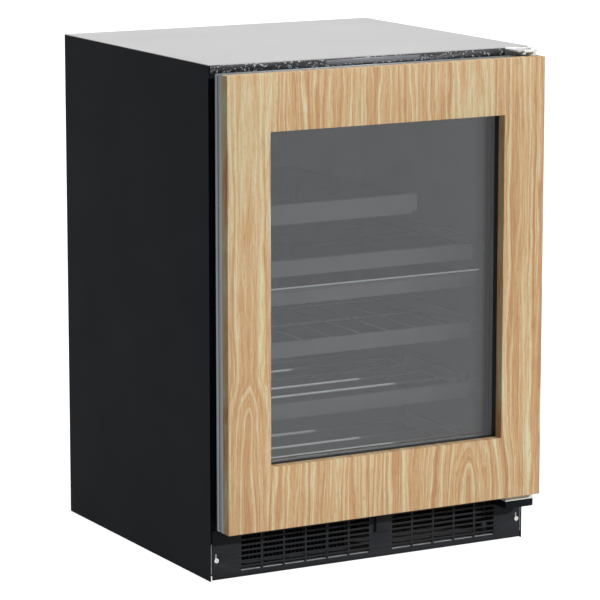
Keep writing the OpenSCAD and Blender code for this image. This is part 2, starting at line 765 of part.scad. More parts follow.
module condenser_fan_motor() color([0.25, 0.25, 0.27]) placed() {
    y = shroud_y + shroud_t;
    rod([fan_x, y + 3, fan_z], [fan_x, y + 40, fan_z], 20);
    rod([fan_x, shroud_y + 2, fan_z], [fan_x, y + 4, fan_z], 2.5);
    for (turn = [45, 135])
        translate([fan_x, y, fan_z]) rotate([0, turn, 0])
            block([-cond_fan_r - 12, 0, -5], [cond_fan_r + 12, 3.2, 5]);
}

module condenser_fan_blade() color([0.08, 0.08, 0.08]) placed()
    translate([fan_x, shroud_y + 1, fan_z]) fan_wheel(14, cond_fan_r, 12, 5, 2.5);

// Discharge line, liquid line with its drier, and suction line.
module refrigerant_lines() color([0.72, 0.45, 0.3]) placed() {
    tube_r = 3.2;
    suction_r = 4;
    row_z = [for (row = [0 : cond_rows - 1]) cond_z + (row + 0.5) * cond_h / cond_rows];
    cond_y = (cond_y_start + cond_y_end) / 2;
    tube_x = cond_hi + tube_out - 1;
    out_x = comp_x - 20;
    // from the compressor forward to the condenser
    pipe([[out_x, comp_y - comp_r + 4, row_z[2]], [out_x, cond_y, row_z[2]], [tube_x, cond_y, row_z[2]]],
         tube_r);
    // from the condenser back through the drier and up into the insulation
    drier_x = tube_x + 12;
    drier_y = machine_y + 40;
    drier_l = 96;
    pipe([[tube_x, cond_y, row_z[1]], [drier_x, cond_y, row_z[1]], [drier_x, drier_y + 2, row_z[1]]],
         tube_r);
    rod([drier_x, drier_y, row_z[1]], [drier_x, drier_y + drier_l, row_z[1]], 10);
    pipe([[drier_x, drier_y + drier_l - 2, row_z[1]], [drier_x, drier_y + drier_l + 20, row_z[1]],
          [drier_x, drier_y + drier_l + 20, machine_h - seam]], tube_r);
    // suction line from the insulation down to the compressor
    back_x = comp_x + 30;
    pipe([[back_x, comp_y + comp_r - 12, shell_z + comp_h * 0.7],
          [back_x, cab_d - 22, shell_z + comp_h * 0.7],
          [back_x, cab_d - 22, machine_h - seam]], suction_r);
}

module drain_pan() color([0.2, 0.2, 0.21]) placed() difference() {
    z = shell_z + comp_h + 2;
    lo = [comp_x - 66, comp_y - 40, z];
    hi = [comp_x + 14, comp_y + 40, machine_h - 6];
    wall = 2;
    block(lo, hi);
    block(lo + [wall, wall, wall], hi + [-wall, -wall, 1]);
}

module control_box() color([0.82, 0.82, 0.8]) placed() {
    x = -half_w + 12;
    y = machine_y + 36;
    size = [58, 78, 130];
    block([x, y, pan_z + pan_t], [x, y, pan_z + pan_t] + size);
    translate([x - 2, y - 2, pan_z + pan_t + size[2]]) cube([size[0] + 4, size[1] + 4, 4]);
}

module power_inlet() color([0.05, 0.05, 0.05]) placed() {
    y = cab_d - sheet_t;
    difference() {
        union() {
            block([inlet_x - inlet_w / 2, y - 26, inlet_z - inlet_h / 2],
                  [inlet_x + inlet_w / 2, y, inlet_z + inlet_h / 2]);
            block([inlet_x - 24, y, inlet_z - 14], [inlet_x + 24, cab_d, inlet_z + 14]);
        }
        block([inlet_x - 11.5, y - 22, inlet_z - 7.5], [inlet_x + 11.5, cab_d + 1, inlet_z + 7.5]);
    }
    for (x = [-7, 0, 7])
        block([inlet_x + x - 1, y - 23, inlet_z - 2], [inlet_x + x + 1, y - 5, inlet_z + 2]);
}

module foot(side, row) color([0.09, 0.09, 0.09]) placed()
    translate([side * foot_x, foot_y[row], 0]) {
        cylinder(h = foot_pad_h, r = foot_pad_r);
        cylinder(h = foot_stem_top, r = foot_stem_r);
    }

// ---- door ----

module panel_stiles() color([0.83, 0.73, 0.59]) placed()
    both_sides() block([win_x, face_y, door_bottom], [door_x, wood_y, door_top]);

module panel_rails() color([0.83, 0.73, 0.59]) placed() {
    block([-win_x, face_y, door_bottom], [win_x, wood_y, win_lo]);
    block([-win_x, face_y, win_hi], [win_x, wood_y, door_top]);
}

// Hollow aluminium extrusion, mitred at the corners, with a groove round its edge.
module door_frame() color([0.45, 0.47, 0.48]) placed() {
    back = -seal_gap;
    groove_d = 1.2;
    groove_y = wood_y + 8;
    groove_w = 6.5;
    mid_z = (door_bottom + door_top) / 2;
    diagonal = frame_w * 1.5;
    difference() {
        block([-door_x, wood_y, door_bottom], [door_x, back, door_top]);
        block([-pocket_x, wood_y - 1, pocket_lo], [pocket_x, back + 1, pocket_hi]);
        // hollow inside the extrusion
        difference() {
            inset = groove_d + frame_wall;
            block([-door_x + inset, wood_y + frame_wall, door_bottom + inset],
                  [door_x - inset, back - frame_wall, door_top - inset]);
            block([-pocket_x - frame_wall, wood_y, pocket_lo - frame_wall],
                  [pocket_x + frame_wall, back, pocket_hi + frame_wall]);
        }
        // groove
        difference() {
            block([-door_x - 1, groove_y, door_bottom - 1], [door_x + 1, groove_y + groove_w, door_top + 1]);
            block([-door_x + groove_d, groove_y - 1, door_bottom + groove_d],
                  [door_x - groove_d, groove_y + groove_w + 1, door_top - groove_d]);
        }
        // mitre joints
        for (sx = [-1, 1], sz = [-1, 1])
            translate([sx * (door_x - frame_w / 2), wood_y - 1,
                       mid_z + sz * ((door_top - door_bottom) / 2 - frame_w / 2)])
                rotate([0, -45 * sx * sz, 0])
                    translate([-diagonal, 0, -seam / 2]) cube([2 * diagonal, frame_d + 2, seam]);
        // bores for the hinge bushes
        for (z = [door_bottom - 1, door_top - bush_l])
            translate([pin_x, pin_y, z]) cylinder(h = bush_l + 1, r = bush_r);
    }
}

// Bushes for the two pins, with the collar on top and the closing cam below.
module hinge_bushes() color([0.8, 0.8, 0.78]) placed() {
    collar_h = plate_z - door_top - 0.6;
    difference() {
        translate([pin_x, pin_y, door_top - bush_l]) {
            cylinder(h = bush_l + collar_h, r = bush_r);
            translate([0, 0, bush_l]) cylinder(h = collar_h, r = bush_r + 2);
        }
        translate([pin_x, pin_y, door_top - bush_l - 1])
            cylinder(h = bush_l + collar_h + 2, r = pin_r + running);
    }
    difference() {
        union() {
            translate([pin_x, pin_y, bracket_top + 2])
                cylinder(h = door_bottom - bracket_top - 2 + bush_l, r = bush_r);
            block([pin_x - 46, pin_y - 9, bracket_top + 1.2], [pin_x + 9, pin_y + 9, door_bottom]);
        }
        translate([pin_x, pin_y, bracket_top])
            cylinder(h = door_bottom - bracket_top + bush_l + 1, r = pin_r + running);
    }
}

module glazing_bead() color([0.04, 0.04, 0.04]) placed() difference() {
    bars(pocket_x, pocket_lo, pocket_hi, win_x, win_lo, win_hi, wood_y, -seal_gap);
    block([-pane_x, glass_y, pane_lo], [pane_x, 0, pane_hi]);
}

module outer_pane() color([0.3, 0.32, 0.33, 0.4]) placed()
    block([-pane_x, glass_y, pane_lo], [pane_x, glass_y + pane_t, pane_hi]);

module inner_pane() color([0.3, 0.32, 0.33, 0.4]) placed()
    block([-pane_x, glass_back - pane_t, pane_lo], [pane_x, glass_back, pane_hi]);

// Hollow spacer bars round the edge of the sealed glass unit.
module glass_spacer() color([0.6, 0.6, 0.62]) placed() {
    spacer_w = 7;
    x = pane_x - 2;
    lo = pane_lo + 2;
    hi = pane_hi - 2;
    bars(x, lo, hi, x - spacer_w, lo + spacer_w, hi - spacer_w, glass_y + pane_t, glass_back - pane_t);
}

module inner_frame() color([0.05, 0.05, 0.05]) placed() {
    x = door_x - inner_edge;
    lo = door_bottom + inner_edge;
    hi = door_top - inner_edge;
    difference() {
        bars(x, lo, hi, win_x, win_lo, win_hi, -seal_gap, inner_back);
        block([-pane_x, -seal_gap - 1, pane_lo], [pane_x, glass_back, pane_hi]);
        difference() {
            block([-x - 1, seal_seat, lo - 1], [x + 1, 1, hi + 1]);
            block([-x + seal_w, seal_seat - 1, lo + seal_w], [x - seal_w, 2, hi - seal_w]);
        }
    }
}

module door_seal() color([0.03, 0.03, 0.03]) placed() {
    x = door_x - inner_edge;
    lo = door_bottom + inner_edge;
    hi = door_top - inner_edge;
    bars(x, lo, hi, x - seal_w + 0.3, lo + seal_w - 0.3, hi - seal_w + 0.3, seal_seat, seal_back);
}

side_panels();
top_panel();
back_panel();
rear_cover();
base_pan();
foam_insulation();
liner();
front_fascia();
fascia_insert();
kick_plate();
screws();
upper_hinge_plate();
lower_hinge_bracket();
control_panel();
light_bars();
door_switch();
hinge_bushes();
shelf_standards();
evaporator_cover();
evaporator_coil();
evaporator_fan_motor();
evaporator_fan_blade();
compressor();
compressor_mounts();
relay_cover();
condenser();
condenser_shroud();
condenser_fan_motor();
condenser_fan_blade();
refrigerant_lines();
drain_pan();
control_box();
power_inlet();
top_shelf_glass();
top_shelf_frame();
divider_glass();
divider_bar();
slide_rails();
rack_body(0);  // rack_1
rack_front(0);  // rack_1_front
rack_1_glass();
rack_body(1);  // rack_2
rack_front(1);  // rack_2_front
rack_body(2);  // rack_3
rack_front(2);  // rack_3_front
rack_body(3);  // rack_4
rack_front(3);  // rack_4_front
foot(-1, 0);  // foot_front_left
foot(1, 0);  // foot_front_right
foot(-1, 1);  // foot_rear_left
foot(1, 1);  // foot_rear_right
panel_stiles();
panel_rails();
door_frame();
glazing_bead();
outer_pane();
inner_pane();
glass_spacer();
inner_frame();
door_seal();
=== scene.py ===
"""Looks of the undercounter refrigerator: finishes, eased edges, oak overlay and studio."""

import json
import math

import bpy
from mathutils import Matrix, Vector

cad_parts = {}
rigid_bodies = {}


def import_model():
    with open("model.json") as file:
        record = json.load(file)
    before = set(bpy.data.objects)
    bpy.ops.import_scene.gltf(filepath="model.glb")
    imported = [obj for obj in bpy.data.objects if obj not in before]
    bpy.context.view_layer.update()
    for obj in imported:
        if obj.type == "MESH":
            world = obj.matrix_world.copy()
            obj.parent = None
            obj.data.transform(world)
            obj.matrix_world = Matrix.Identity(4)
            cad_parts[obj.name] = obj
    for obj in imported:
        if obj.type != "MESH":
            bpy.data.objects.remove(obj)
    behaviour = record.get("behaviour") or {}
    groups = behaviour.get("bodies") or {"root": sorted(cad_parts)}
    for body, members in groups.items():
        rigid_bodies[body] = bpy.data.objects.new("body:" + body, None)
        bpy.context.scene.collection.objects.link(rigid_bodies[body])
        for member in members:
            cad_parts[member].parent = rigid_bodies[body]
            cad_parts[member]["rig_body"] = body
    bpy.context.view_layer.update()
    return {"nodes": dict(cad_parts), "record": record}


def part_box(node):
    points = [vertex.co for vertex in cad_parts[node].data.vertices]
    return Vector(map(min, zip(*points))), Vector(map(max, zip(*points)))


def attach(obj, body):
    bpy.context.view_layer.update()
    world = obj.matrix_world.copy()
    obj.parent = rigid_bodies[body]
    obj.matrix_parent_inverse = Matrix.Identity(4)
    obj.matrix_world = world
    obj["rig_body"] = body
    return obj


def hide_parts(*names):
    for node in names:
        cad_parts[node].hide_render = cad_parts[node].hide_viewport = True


bl_info = {
    "name": "Undercounter Refrigerator Looks",
    "version": (1, 0, 0),
    "blender": (4, 5, 0),
    "location": "View3D > Sidebar > Refrigerator",
    "description": "Builds the finishes, the oak overlay and the studio round the packed refrigerator",
    "category": "Object",
}

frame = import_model()
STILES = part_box("panel_stiles")
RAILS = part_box("panel_rails")
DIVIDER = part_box("divider_glass")
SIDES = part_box("side_panels")
SLOT_OF = {s["node"]: s["material_slot"] for s in frame["record"]["subparts"]}

# the cabinet light falls on these pieces, and the key light doesn't
INSIDE = ("liner", "evaporator_cover", "shelf_standards", "slide_rails", "divider_bar", "divider_glass",
          "top_shelf_frame", "top_shelf_glass", "rack_1_glass", "rack_1_front", "rack_2_front",
          "rack_3_front", "rack_4_front")

RAIL_ARCH = (0.157, 0.128)  # x and z where the grain arches over on the bottom rail
STILE_ARCH = (-0.262, 0.270)  # the same on the left stile
ARCH_FOOT, ARCH_TIP, ARCH_SPAN = -0.01, 0.085, 0.026  # where an arch begins and closes, and its reach
LINES_ACROSS, LINES_ALONG = 150.0, 1.1  # growth lines in a metre of width and of height
DRIFT, RIPPLE = 0.020, 0.0022  # how far a line strays sideways, slowly and quickly
EASE_ANGLE = math.radians(40)  # edges that turn more than this are rounded
SMOOTH_ANGLE = math.radians(35)  # faces that meet under this are shaded as one
WELD = 0.00001  # corners of a CAD mesh closer than this are one corner
THIN_GLASS = 0.12  # the most that a face of thin glass mirrors at any angle
CUT_EDGE = 0.95  # how much of a pane's cut edge is ground glass
POLISHED = 0.0026  # depth of the divider's polished edge, from its top face
ON_FACE = 0.0002  # what lies this close to the divider's front face is on it
MIRRORED = 0.55  # how bright the studio is in a mirror
UNDER_EDGE = 0.022  # how far in under the cabinet the floor is still seen below the sheets' edges


# ---- settings ----


class OverlaySettings(bpy.types.PropertyGroup):
    """Sizes and colours of the oak overlay."""

    bottom_rail: bpy.props.FloatProperty(
        name="Bottom rail", description="Height of the bottom rail", default=0.106, min=0.05, unit="LENGTH")
    top_rail: bpy.props.FloatProperty(
        name="Top rail", description="Height of the top rail", default=0.0944, min=0.05, unit="LENGTH")
    easing: bpy.props.FloatProperty(
        name="Easing", description="Radius of the boards' long edges",
        default=0.0008, min=0.0, unit="LENGTH")
    light_wood: bpy.props.FloatVectorProperty(
        name="Early wood", description="Colour of the pale bands", default=(0.72, 0.665, 0.43),
        size=3, min=0.0, max=1.0, subtype="COLOR")
    mid_wood: bpy.props.FloatVectorProperty(
        name="Middle tone", description="Colour between the bands", default=(0.64, 0.415, 0.213),
        size=3, min=0.0, max=1.0, subtype="COLOR")
    dark_wood: bpy.props.FloatVectorProperty(
        name="Late wood", description="Colour of the grain lines", default=(0.50, 0.262, 0.135),
        size=3, min=0.0, max=1.0, subtype="COLOR")


class CabinetSettings(bpy.types.PropertyGroup):
    """Finish of the cabinet's metalwork and plastics."""

    sheet_easing: bpy.props.FloatProperty(
        name="Sheet easing", description="Edge radius of folded sheet and small castings",
        default=0.0004, min=0.0, unit="LENGTH")
    trim_easing: bpy.props.FloatProperty(
        name="Trim easing", description="Edge radius of the shelf and rack fronts",
        default=0.0007, min=0.0, unit="LENGTH")
    glass_tint: bpy.props.FloatVectorProperty(
        name="Glass tint", description="What one face of a pane lets through", default=(0.86, 0.87, 0.87),
        size=3, min=0.0, max=1.0, subtype="COLOR")


class StudioSettings(bpy.types.PropertyGroup):
    """Lights, floor and camera."""

    lens: bpy.props.FloatProperty(
        name="Lens", description="Focal length in millimetres on a 36 mm sensor", default=197.0, min=20.0)
    camera_place: bpy.props.FloatVectorProperty(
        name="Camera place", description="Where the camera stands", default=(-2.69726, -4.89562, 1.44897),
        size=3, subtype="TRANSLATION")
    yaw: bpy.props.FloatProperty(
        name="Yaw", description="Turn of the camera to the right of the door's normal",
        default=math.radians(28.84), subtype="ANGLE")
    pitch: bpy.props.FloatProperty(
        name="Pitch", description="Tilt of the camera below the horizon",
        default=math.radians(10.55), subtype="ANGLE")
    key_power: bpy.props.FloatProperty(
        name="Key", description="Strength of the key light", default=2.6, min=0.0)
    key_side: bpy.props.FloatProperty(
        name="Key side", description="Turn of the key light to the right of the door's normal",
        default=math.radians(27.6), subtype="ANGLE")
    key_rise: bpy.props.FloatProperty(
        name="Key rise", description="Height of the key light above the horizon",
        default=math.radians(25.0), subtype="ANGLE")
    top_power: bpy.props.FloatProperty(
        name="Top light", description="Power of the overhead panel", default=18.0, min=0.0)
    top_size: bpy.props.FloatProperty(
        name="Top size", description="Side of the overhead panel", default=1.6, min=0.1, unit="LENGTH")
    cabinet_power: bpy.props.FloatProperty(
        name="Cabinet light", description="Strength of the light inside", default=0.12, min=0.0)
    fill: bpy.props.FloatProperty(
        name="Fill", description="Strength of the light all round", default=0.16, min=0.0)
    backdrop: bpy.props.FloatProperty(
        name="Backdrop", description="Brightness of the studio where it is seen", default=1.05, min=0.0)


# ---- helpers ----


def linear(code):
    """A colour given as sRGB hex, in linear red, green, blue and alpha."""
    out = []
    for i in (0, 2, 4):
        c = int(code[i:i + 2], 16) / 255
        out.append(c / 12.92 if c <= 0.04045 else ((c + 0.055) / 1.055) ** 2.4)
    return (*out, 1.0)


def add(tree, kind, sockets=None, stops=(), **settings):
    """Adds a node, sets its properties and any ramp's (place, colour) stops, and sets or links its
    sockets."""
    made = tree.nodes.new(kind)
    for name, value in settings.items():
        setattr(made, name, value)
    for name, value in (sockets or {}).items():
        if isinstance(value, bpy.types.NodeSocket):
            tree.links.new(value, made.inputs[name])
        else:
            made.inputs[name].default_value = value
    if stops:
        marks = made.color_ramp.elements
        while len(marks) < len(stops):
            marks.new(0.5)
        for mark, (place, colour) in zip(marks, stops):
            mark.position = place
            mark.color = colour
    return made


def start(name):
    """A new material with an empty tree: (material, tree, object coordinates)."""
    mat = bpy.data.materials.new(name)
    mat.use_nodes = True
    tree = mat.node_tree
    tree.nodes.clear()
    return mat, tree, add(tree, "ShaderNodeTexCoord").outputs["Object"]


def lumps(tree, coords, size, detail=3.0, rough=0.5):
    """Noise from 0 to 1 whose lumps measure size metres along each axis."""
    spread = add(tree, "ShaderNodeMapping", {"Vector": coords, "Scale": tuple(1.0 / s for s in size)})
    return add(tree, "ShaderNodeTexNoise", {
        "Vector": spread.outputs["Vector"], "Scale": 1.0, "Detail": detail,
        "Roughness": rough}).outputs["Fac"]


def surfaced(tree, tone, stops, wear, rough, relief, depth, **more):
    """Ends a tree with its shader. The colour follows tone through (place, hex) stops, the roughness
    follows wear between two values, and relief stands depth metres proud. The rest are sockets."""
    colour = add(tree, "ShaderNodeValToRGB", {"Fac": tone},
                 [(place, linear(code)) for place, code in stops])
    worn = add(tree, "ShaderNodeMapRange", {"Value": wear, "To Min": rough[0], "To Max": rough[1]})
    raised = add(tree, "ShaderNodeBump", {"Height": relief, "Distance": depth})
    shader = add(tree, "ShaderNodeBsdfPrincipled", {
        "Base Color": colour.outputs["Color"], "Roughness": worn.outputs["Result"],
        "Normal": raised.outputs["Normal"],
        **{name.replace("_", " "): value for name, value in more.items()}})
    add(tree, "ShaderNodeOutputMaterial", {"Surface": shader.outputs["BSDF"]})


def seen_directly(tree):
    """1 where the studio is seen by the camera, MIRRORED in a mirror, 0 where it only lights."""
    path = add(tree, "ShaderNodeLightPath").outputs
    mirrored = add(tree, "ShaderNodeMath", {0: path["Is Glossy Ray"], 1: MIRRORED}, operation="MULTIPLY")
    return add(tree, "ShaderNodeMath", {0: path["Is Camera Ray"], 1: mirrored.outputs[0]},
               operation="MAXIMUM").outputs[0]


# ---- finishes ----


def speckled(name, dark, light, grain, rough, depth=0.00003, gloss=0.5):
    """A moulded or coated surface: fine grain of the given size in metres over slow uneven patches."""
    mat, tree, coords = start(name)
    fine = lumps(tree, coords, (grain,) * 3, detail=2.0)
    slow = lumps(tree, coords, (0.12,) * 3, detail=2.0)
    both = add(tree, "ShaderNodeMath", {0: fine, 1: slow}, operation="ADD").outputs[0]
    half = add(tree, "ShaderNodeMath", {0: both, 1: 0.5}, operation="MULTIPLY").outputs[0]
    surfaced(tree, half, [(0.36, dark), (0.64, light)], slow, (rough - 0.06, rough + 0.08), fine, depth,
             Specular_IOR_Level=gloss)
    return mat


def drawn_metal(name, dark, light, rough, along=(0.0006, 0.0006, 0.08)):
    """Extruded or rolled metal, with fine lines along its length."""
    mat, tree, coords = start(name)
    lines = lumps(tree, coords, along, detail=4.0, rough=0.6)
    slow = lumps(tree, coords, (0.09, 0.09, 0.3), detail=2.0)
    surfaced(tree, lines, [(0.3, dark), (0.7, light)], slow, (rough - 0.05, rough + 0.07), lines, 0.00001,
             Metallic=1.0)
    return mat


def galvanised_sheet():
    """Zinc coated sheet, whose spangle of 7 mm crystals is each a slightly different grey."""
    mat, tree, coords = start("galvanised_sheet")
    spangle = add(tree, "ShaderNodeTexVoronoi", {"Vector": coords, "Scale": 1.0 / 0.007}).outputs["Color"]
    tone = add(tree, "ShaderNodeSeparateColor", {"Color": spangle}).outputs[0]
    fine = lumps(tree, coords, (0.0015,) * 3)
    surfaced(tree, tone, [(0.0, "8C9093"), (1.0, "9DA0A2")], tone, (0.42, 0.52), fine, 0.00002,
             Metallic=0.85)
    return mat


def pebbled_plastic_painted_glints():
    """Black fascia plastic with a coarse pebble, whose tips are painted near white as glints."""
    mat, tree, coords = start("pebbled_plastic_painted_glints")
    pebbles_and_painted_glints = lumps(tree, coords, (0.0042, 0.0042, 0.0026), detail=2.0, rough=0.6)
    # painted highlight: the pebble tips take the near white C6C9CE as glints; the same noise also sets the
    # bump and roughness
    surfaced(tree, pebbles_and_painted_glints, [(0.5, "121316"), (0.58, "34363B"), (0.68, "C6C9CE")], pebbles_and_painted_glints, (0.5, 0.24),
             pebbles_and_painted_glints, 0.0005, Specular_IOR_Level=0.6)
    return mat


def copper_tube():
    """Drawn copper, tarnished in brown and pink patches."""
    mat, tree, coords = start("copper_tube")
    tarnish = lumps(tree, coords, (0.03,) * 3, detail=5.0, rough=0.6)
    surfaced(tree, tarnish, [(0.3, "8A4B2C"), (0.5, "C07A50"), (0.75, "D6956B")], tarnish, (0.42, 0.22),
             tarnish, 0.00005, Metallic=1.0)
    return mat


def poured_foam():
    """Rigid polyurethane foam, with a skin of 6 mm blisters."""
    mat, tree, coords = start("poured_foam")
    blisters = add(tree, "ShaderNodeTexVoronoi", {"Vector": coords, "Scale": 1.0 / 0.006},
                   feature="SMOOTH_F1").outputs["Distance"]
    slow = lumps(tree, coords, (0.08,) * 3, detail=4.0)
    surfaced(tree, slow, [(0.3, "E2CF9A"), (0.7, "F3E6BE")], slow, (0.75, 0.95), blisters, 0.0012,
             Specular_IOR_Level=0.2)
    return mat


def zinc_plate():
    """Bright zinc plate, with the faint blue and straw patches of its passivation."""
    mat, tree, coords = start("zinc_plate")
    patch = lumps(tree, coords, (0.012,) * 3, detail=4.0)
    fine = lumps(tree, coords, (0.0005, 0.004, 0.0005))
    surfaced(tree, patch, [(0.3, "DCE2E6"), (0.55, "EDEEEC"), (0.75, "EAE6D8")], patch, (0.2, 0.34), fine,
             0.00001, Metallic=0.1)
    return mat


def opal_diffuser():
    """Milky acrylic over the lamps, which glows a little."""
    mat, tree, coords = start("opal_diffuser")
    fine = lumps(tree, coords, (0.002,) * 3)
    surfaced(tree, fine, [(0.3, "E9EAEA"), (0.7, "F6F6F4")], fine, (0.35, 0.35), fine, 0.00004,
             Emission_Color=(1.0, 0.98, 0.94, 1.0), Emission_Strength=0.15)
    return mat


def pane_edges(tree, coords):
    """1 on the cut edges of an upright pane, 0 on its two faces."""
    normal = add(tree, "ShaderNodeTexCoord").outputs["Normal"]
    ahead = add(tree, "ShaderNodeSeparateXYZ", {"Vector": normal}).outputs["Y"]
    facing = add(tree, "ShaderNodeMath", {0: ahead}, operation="ABSOLUTE").outputs[0]
    return add(tree, "ShaderNodeMath", {0: facing, 1: 0.5}, operation="LESS_THAN").outputs[0]


def divider_edge(tree, coords):
    """1 on the polished front edge of the fixed divider's glass, where a painted highlight glows."""
    place = add(tree, "ShaderNodeSeparateXYZ", {"Vector": coords}).outputs
    ahead = add(tree, "ShaderNodeMath", {0: place["Y"], 1: DIVIDER[0].y + ON_FACE}, operation="LESS_THAN")
    upper = add(tree, "ShaderNodeMath", {0: place["Z"], 1: DIVIDER[1].z - POLISHED},
                operation="GREATER_THAN")
    return add(tree, "ShaderNodeMath", {0: ahead.outputs[0], 1: upper.outputs[0]},
               operation="MULTIPLY").outputs[0]


def sheet_glass(name, tint, edge_at, edge, painted_edge_glow=0.0, painted_reflection_glow=0.0):
    """Sheet glass that lets the lamps through. edge_at finds its cut edges, which have the edge colour and
    an even glow painted on as a highlight; the last strength paints an even glow over the pane as the
    studio's reflection."""
    mat, tree, coords = start(name)
    patch = lumps(tree, coords, (0.05,) * 3, detail=2.0)
    paler = tuple(min(1.0, c + 0.012) for c in tint)
    seen = add(tree, "ShaderNodeValToRGB", {"Fac": patch}, [(0.3, (*tint, 1.0)), (0.7, (*paler, 1.0))])
    through = add(tree, "ShaderNodeBsdfTransparent", {"Color": seen.outputs["Color"]}).outputs[0]
    mirror = add(tree, "ShaderNodeBsdfGlossy", {"Color": linear("FFFFFF"), "Roughness": 0.0}).outputs[0]
    fresnel = add(tree, "ShaderNodeFresnel", {"IOR": 1.3}).outputs[0]
    share = add(tree, "ShaderNodeMath", {0: fresnel, 1: THIN_GLASS}, operation="MINIMUM").outputs[0]
    sheet = add(tree, "ShaderNodeMixShader", {0: share, 1: through, 2: mirror}).outputs[0]
    # painted reflection: an even glow over the pane stands in for the studio mirrored in it
    if painted_reflection_glow:
        glow = add(tree, "ShaderNodeEmission", {"Color": (0.97, 0.96, 1.0, 1.0), "Strength": painted_reflection_glow})
        sheet = add(tree, "ShaderNodeAddShader", {0: sheet, 1: glow.outputs[0]}).outputs[0]
    cut = add(tree, "ShaderNodeMath", {0: edge_at(tree, coords), 1: CUT_EDGE},
              operation="MULTIPLY").outputs[0]
    ground = add(tree, "ShaderNodeBsdfDiffuse", {"Color": linear(edge)}).outputs[0]
    # painted highlight: a constant glow on the cut edge, though it is no lamp
    light = add(tree, "ShaderNodeEmission", {"Color": linear(edge), "Strength": painted_edge_glow}).outputs[0]
    lit = add(tree, "ShaderNodeAddShader", {0: ground, 1: light}).outputs[0]
    both = add(tree, "ShaderNodeMixShader", {0: cut, 1: sheet, 2: lit}).outputs[0]
    add(tree, "ShaderNodeOutputMaterial", {"Surface": both})
    return mat


def growth_lines(tree, coords):
    """White oak's growth lines as 0 to 1. They run upright and wander, and arch over in two places: low
    on the bottom rail, and part way up the left stile."""
    parts = add(tree, "ShaderNodeSeparateXYZ", {"Vector": coords}).outputs
    x, z = parts["X"], parts["Z"]
    on_stile = add(tree, "ShaderNodeMath", {0: x, 1: RAILS[0].x}, operation="LESS_THAN").outputs[0]
    arch_x, arch_z = (
        add(tree, "ShaderNodeMapRange", {"Value": on_stile, "To Min": on_rail, "To Max": place}).outputs[0]
        for on_rail, place in zip(RAIL_ARCH, STILE_ARCH))
    drift = lumps(tree, coords, (0.045, 0.045, 0.30))
    ripple = lumps(tree, coords, (0.012, 0.012, 0.06), detail=2.0)
    swing = add(tree, "ShaderNodeMapRange", {"Value": drift, "To Min": -DRIFT, "To Max": DRIFT})
    shake = add(tree, "ShaderNodeMapRange", {"Value": ripple, "To Min": -RIPPLE, "To Max": RIPPLE})
    wander = add(tree, "ShaderNodeMath", {0: swing.outputs["Result"], 1: shake.outputs["Result"]},
                 operation="ADD").outputs[0]
    beside = add(tree, "ShaderNodeMath", {0: x, 1: arch_x}, operation="SUBTRACT").outputs[0]
    across = add(tree, "ShaderNodeMath", {0: beside, 1: wander}, operation="ADD").outputs[0]
    over = add(tree, "ShaderNodeMath", {0: z, 1: arch_z}, operation="SUBTRACT").outputs[0]
    above = add(tree, "ShaderNodeMapRange", {
        "Value": over, "From Min": ARCH_FOOT, "From Max": ARCH_TIP, "To Min": 0.0, "To Max": ARCH_SPAN},
        interpolation_type="SMOOTHSTEP").outputs["Result"]
    flat = add(tree, "ShaderNodeCombineXYZ", {"X": across, "Y": above, "Z": 0.0}).outputs["Vector"]
    ring = add(tree, "ShaderNodeVectorMath", {0: flat}, operation="LENGTH").outputs["Value"]
    spaced = add(tree, "ShaderNodeMath", {0: ring, 1: LINES_ACROSS}, operation="MULTIPLY").outputs[0]
    upward = add(tree, "ShaderNodeMath", {0: z, 1: LINES_ALONG}, operation="MULTIPLY").outputs[0]
    at = add(tree, "ShaderNodeCombineXYZ", {"X": spaced, "Y": upward, "Z": 0.0}).outputs["Vector"]
    return add(tree, "ShaderNodeTexNoise", {
        "Vector": at, "Scale": 1.0, "Detail": 4.0, "Roughness": 0.62}).outputs["Fac"]


def oiled_oak(light, mid, dark):
    """White oak veneer under clear oil: pale and dark growth lines, fine fibre, and open pores."""
    mat, tree, coords = start("oiled_oak")
    fibre = lumps(tree, coords, (0.0016, 0.0016, 0.05), detail=4.0, rough=0.65)
    pores = lumps(tree, coords, (0.0008, 0.0008, 0.012), detail=1.0)
    tone = add(tree, "ShaderNodeMix", {0: 0.30, 2: growth_lines(tree, coords), 3: fibre}, data_type="FLOAT")
    wood = add(tree, "ShaderNodeValToRGB", {"Fac": tone.outputs[0]},
               [(0.395, (*dark, 1.0)), (0.495, (*mid, 1.0)), (0.60, (*light, 1.0))])
    open_pores = add(tree, "ShaderNodeValToRGB", {"Fac": pores},
                     [(0.60, (0.0, 0.0, 0.0, 1.0)), (0.74, (0.5, 0.5, 0.5, 1.0))])
    pored = add(tree, "ShaderNodeMix", {
        0: open_pores.outputs["Color"], 6: wood.outputs["Color"], 7: (*(d * 0.66 for d in dark), 1.0)},
        data_type="RGBA")
    worn = add(tree, "ShaderNodeMapRange", {"Value": fibre, "To Min": 0.62, "To Max": 0.46})
    pitted = add(tree, "ShaderNodeBump", {"Height": pores, "Distance": 0.00008, "Strength": 0.6})
    raised = add(tree, "ShaderNodeBump", {
        "Height": fibre, "Distance": 0.00004, "Normal": pitted.outputs["Normal"]})
    shader = add(tree, "ShaderNodeBsdfPrincipled", {
        "Base Color": pored.outputs[2], "Roughness": worn.outputs["Result"],
        "Normal": raised.outputs["Normal"], "Specular IOR Level": 0.15})
    add(tree, "ShaderNodeOutputMaterial", {"Surface": shader.outputs["BSDF"]})
    return mat


